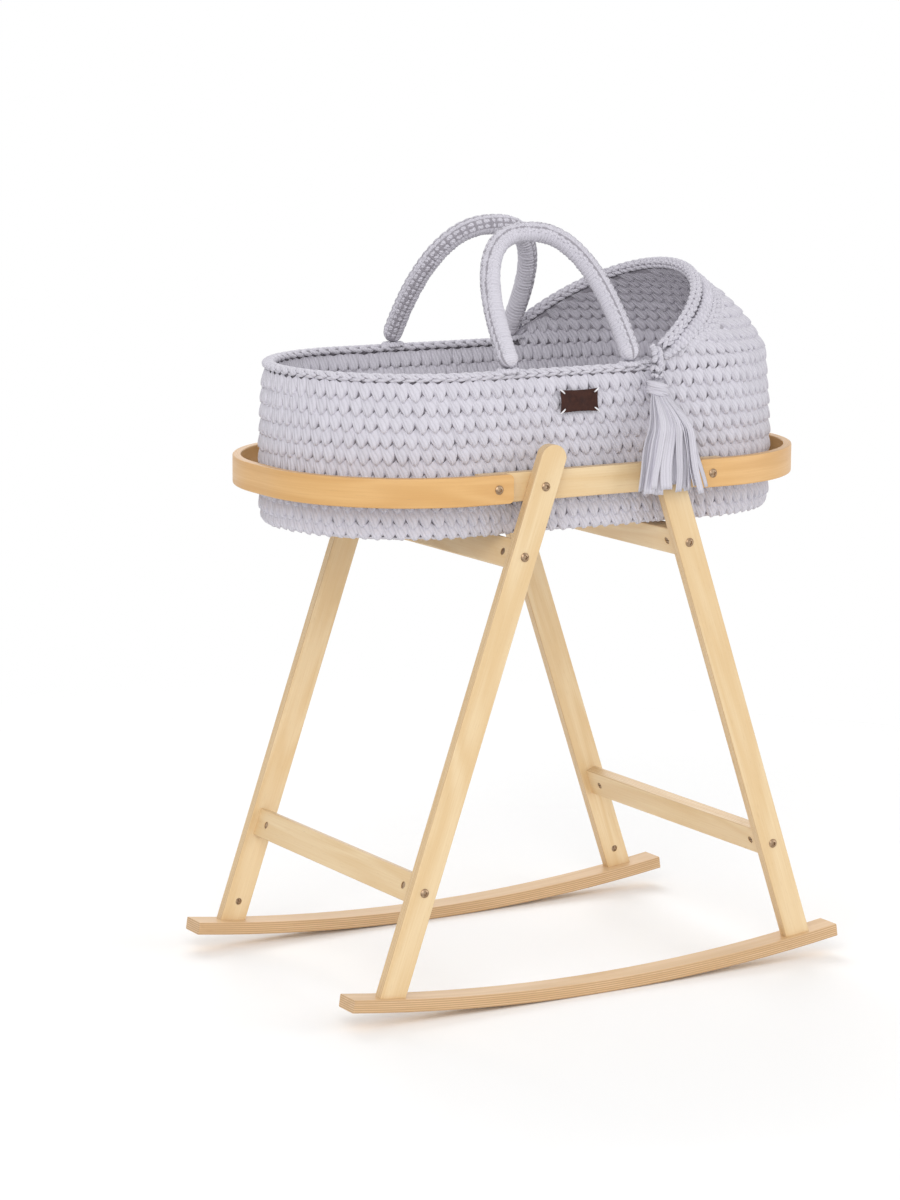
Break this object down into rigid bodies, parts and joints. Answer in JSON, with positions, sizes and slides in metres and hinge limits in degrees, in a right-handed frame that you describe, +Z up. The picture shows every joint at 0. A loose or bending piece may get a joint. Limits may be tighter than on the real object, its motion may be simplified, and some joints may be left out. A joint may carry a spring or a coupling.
{
  "type": "moses basket stand",
  "caption": "Bolted plywood A-frame stand on curved rockers, with a ring that holds a crocheted oval baby basket with hood, carry handles, tassels and mattress.",
  "frame": {"origin": "on the floor, under the middle of the stand", "axes": "+Z up, +X towards the hooded head end, -Y towards the front side with the label"},
  "size_m": [0.82, 0.5316, 1.0564],
  "materials": {
    "birch_ply": "clear satin lacquer on birch plywood",
    "beech_dowel": "plain turned beech",
    "bronzed_steel": "bronzed steel",
    "jersey_yarn": "crocheted cotton jersey yarn",
    "mattress_cotton": "woven cotton cover",
    "label_leather": "plain dark leather"
  },
  "bodies": {
    "stand": {"front_rocker": "birch_ply", "back_rocker": "birch_ply", "front_foot_leg": "birch_ply", "front_head_leg": "birch_ply", "back_foot_leg": "birch_ply", "back_head_leg": "birch_ply", "foot_upper_bar": "birch_ply", "head_upper_bar": "birch_ply", "foot_stretcher": "birch_ply", "head_stretcher": "birch_ply", "front_rail": "birch_ply", "back_rail": "birch_ply", "foot_bow": "birch_ply", "head_bow": "birch_ply", "leg_rail_bolts": "bronzed_steel", "leg_rail_nuts": "bronzed_steel", "bow_bolts": "bronzed_steel", "bow_nuts": "bronzed_steel", "upper_bar_bolts": "bronzed_steel", "upper_bar_nuts": "bronzed_steel", "stretcher_bolts": "bronzed_steel", "stretcher_nuts": "bronzed_steel", "foot_bolts": "bronzed_steel", "foot_nuts": "bronzed_steel", "upper_bar_dowels": "beech_dowel", "stretcher_dowels": "beech_dowel", "foot_dowels": "beech_dowel", "bow_dowels": "beech_dowel"},
    "basket": {"basket_base": "jersey_yarn", "basket_wall": "jersey_yarn", "basket_rim": "jersey_yarn", "hood": "jersey_yarn", "hood_band": "jersey_yarn", "mattress": "mattress_cotton", "leather_label": "label_leather", "front_tassel_knot": "jersey_yarn", "back_tassel_knot": "jersey_yarn"},
    "front_handle": {"front_handle": "jersey_yarn"},
    "back_handle": {"back_handle": "jersey_yarn"},
    "front_tassel": {"front_tassel": "jersey_yarn"},
    "back_tassel": {"back_tassel": "jersey_yarn"}
  },
  "joints": [
    {"name": "basket_lift", "type": "slide", "parent": "stand", "child": "basket", "axis": [0, 0, 1], "range_m": [0, 0.3]},
    {"name": "front_handle_swing", "type": "hinge", "parent": "basket", "child": "front_handle", "pos_m": [-0.031, -0.185, 0.88294], "axis": [1, 0, 0], "range_deg": [-15, 100]},
    {"name": "back_handle_swing", "type": "hinge", "parent": "basket", "child": "back_handle", "pos_m": [0.003, 0.185, 0.88294], "axis": [-1, 0, 0], "range_deg": [-15, 100]},
    {"name": "front_tassel_swing", "type": "hinge", "parent": "basket", "child": "front_tassel", "pos_m": [0.098, -0.20507, 0.85564], "axis": [-1, 0, 0], "range_deg": [0, 60]},
    {"name": "back_tassel_swing", "type": "hinge", "parent": "basket", "child": "back_tassel", "pos_m": [0.098, 0.20507, 0.85564], "axis": [1, 0, 0], "range_deg": [0, 60]}
  ]
}
